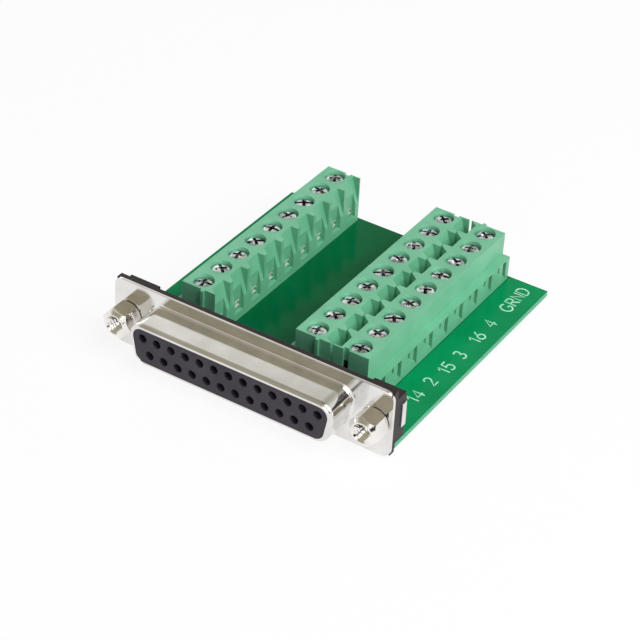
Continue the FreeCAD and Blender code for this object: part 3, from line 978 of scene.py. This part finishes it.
def camera():
    """Camera on the line of sight that was fitted to the photograph."""
    azimuth = math.radians(CAMERA_AZIMUTH)
    elevation = math.radians(CAMERA_ELEVATION)
    roll = math.radians(CAMERA_ROLL)
    back = Vector((math.sin(azimuth) * math.cos(elevation), -math.cos(azimuth) * math.cos(elevation),
                   math.sin(elevation)))
    level = Vector((math.cos(azimuth), math.sin(azimuth), 0))
    above = back.cross(level)
    right = math.cos(roll) * level + math.sin(roll) * above
    up = math.cos(roll) * above - math.sin(roll) * level
    aim = Vector((0, behind(0), AXIS_HEIGHT))
    place = aim + CAMERA_DISTANCE * back - CAMERA_SHIFT[0] * right - CAMERA_SHIFT[1] * up
    data = bpy.data.cameras.new("camera")
    data.lens = CAMERA_LENS
    data.sensor_width = SENSOR_WIDTH
    data.clip_start = 0.01
    data.clip_end = 10
    eye = bpy.data.objects.new("camera", data)
    turn = Matrix((right, up, back)).transposed().to_4x4()
    eye.matrix_world = Matrix.Translation(place * MM) @ turn
    bpy.context.scene.collection.objects.link(eye)
    bpy.context.scene.camera = eye


def split_by_ray(tree, seen, unseen):
    """One shader for the camera, reflections and clear pieces, and another for all other light."""
    path = tree.nodes.new("ShaderNodeLightPath")
    direct = tree.nodes.new("ShaderNodeMath")
    direct.operation = "MAXIMUM"
    clear = tree.nodes.new("ShaderNodeMath")
    clear.operation = "MAXIMUM"
    join = tree.nodes.new("ShaderNodeMixShader")
    tree.links.new(path.outputs["Is Camera Ray"], direct.inputs[0])
    tree.links.new(path.outputs["Is Glossy Ray"], direct.inputs[1])
    tree.links.new(direct.outputs[0], clear.inputs[0])
    tree.links.new(path.outputs["Is Transmission Ray"], clear.inputs[1])
    tree.links.new(clear.outputs[0], join.inputs["Fac"])
    tree.links.new(unseen, join.inputs[1])
    tree.links.new(seen, join.inputs[2])
    return join.outputs[0]


def room_tone(tree):
    """White low in the surround, a duller, warmer ceiling, and darker places in front."""
    place = tree.nodes.new("ShaderNodeTexCoord")
    parts = tree.nodes.new("ShaderNodeSeparateXYZ")
    ramp = tree.nodes.new("ShaderNodeValToRGB")
    stops = ramp.color_ramp.elements
    for stop, (position, color) in zip(stops, ROOM_ENDS):
        stop.position = position
        stop.color = (*color, 1)
    for position, color in ROOM_STEPS:
        stops.new(position).color = (*color, 1)
    tree.links.new(place.outputs["Generated"], parts.inputs["Vector"])
    tree.links.new(parts.outputs["Z"], ramp.inputs["Fac"])
    tone = ramp.outputs["Color"]
    for direction, rim, middle, color in DARK_SCREENS:
        toward = tree.nodes.new("ShaderNodeVectorMath")
        toward.operation = "DOT_PRODUCT"
        toward.inputs[1].default_value = direction
        screen = tree.nodes.new("ShaderNodeMapRange")
        screen.interpolation_type = "SMOOTHSTEP"
        screen.inputs["From Min"].default_value = rim
        screen.inputs["From Max"].default_value = middle
        shade = tree.nodes.new("ShaderNodeMix")
        shade.data_type = "RGBA"
        shade.inputs["B"].default_value = (*color, 1)
        tree.links.new(place.outputs["Generated"], toward.inputs[0])
        tree.links.new(toward.outputs["Value"], screen.inputs["Value"])
        tree.links.new(screen.outputs["Result"], shade.inputs["Factor"])
        tree.links.new(tone, shade.inputs["A"])
        tone = shade.outputs["Result"]
    return tone


def surround():
    """Room that is seen and mirrored in its tones, and lights the part with a dim plain white."""
    world = bpy.data.worlds.new("surround")
    world.use_nodes = True
    tree = world.node_tree
    ambient = tree.nodes["Background"]
    ambient.inputs["Color"].default_value = (1, 1, 1, 1)
    ambient.inputs["Strength"].default_value = AMBIENT
    bright = tree.nodes.new("ShaderNodeBackground")
    bright.inputs["Strength"].default_value = 1.0
    tree.links.new(room_tone(tree), bright.inputs["Color"])
    joined = split_by_ray(tree, bright.outputs[0], ambient.outputs[0])
    tree.links.new(joined, tree.nodes["World Output"].inputs["Surface"])
    bpy.context.scene.world = world


def floor_paper():
    """White paper that glows to the camera and in reflections, and still takes a soft shadow."""
    paper = principled("floor_paper", (0.96, 0.96, 0.96), 0.9, specular=0.1)
    tree = paper.node_tree
    plain = tree.nodes["Principled BSDF"].outputs[0]
    glow = tree.nodes.new("ShaderNodeEmission")
    blend = tree.nodes.new("ShaderNodeMixShader")
    blend.inputs["Fac"].default_value = PAPER_GLOW
    tree.links.new(plain, blend.inputs[1])
    tree.links.new(glow.outputs[0], blend.inputs[2])
    joined = split_by_ray(tree, blend.outputs[0], plain)
    tree.links.new(joined, tree.nodes["Material Output"].inputs["Surface"])
    return paper


def studio():
    """Pale floor, three soft lamps and the surround."""
    surround()
    mesh = bpy.data.meshes.new("floor")
    corners = [(x * FLOOR_REACH, y * FLOOR_REACH, 0) for x, y in ((-1, -1), (1, -1), (1, 1), (-1, 1))]
    mesh.from_pydata(corners, [], [(0, 1, 2, 3)])
    mesh.materials.append(floor_paper())
    floor = bpy.data.objects.new("floor", mesh)
    bpy.context.scene.collection.objects.link(floor)

    for name, place, size, power in LAMPS:
        lamp = bpy.data.lights.new(name, "AREA")
        lamp.size = size
        lamp.energy = power
        holder = bpy.data.objects.new(name, lamp)
        holder.location = place
        holder.rotation_euler = (-Vector(place)).to_track_quat("-Z", "Y").to_euler()
        bpy.context.scene.collection.objects.link(holder)
    bpy.context.scene.view_settings.view_transform = "Standard"


dress_frame()
soften_part()
front_shell()
insulator_face()
jack_sockets()
housing_details()
clamp_screws()
board_labels()
solder_joints()
camera()
studio()
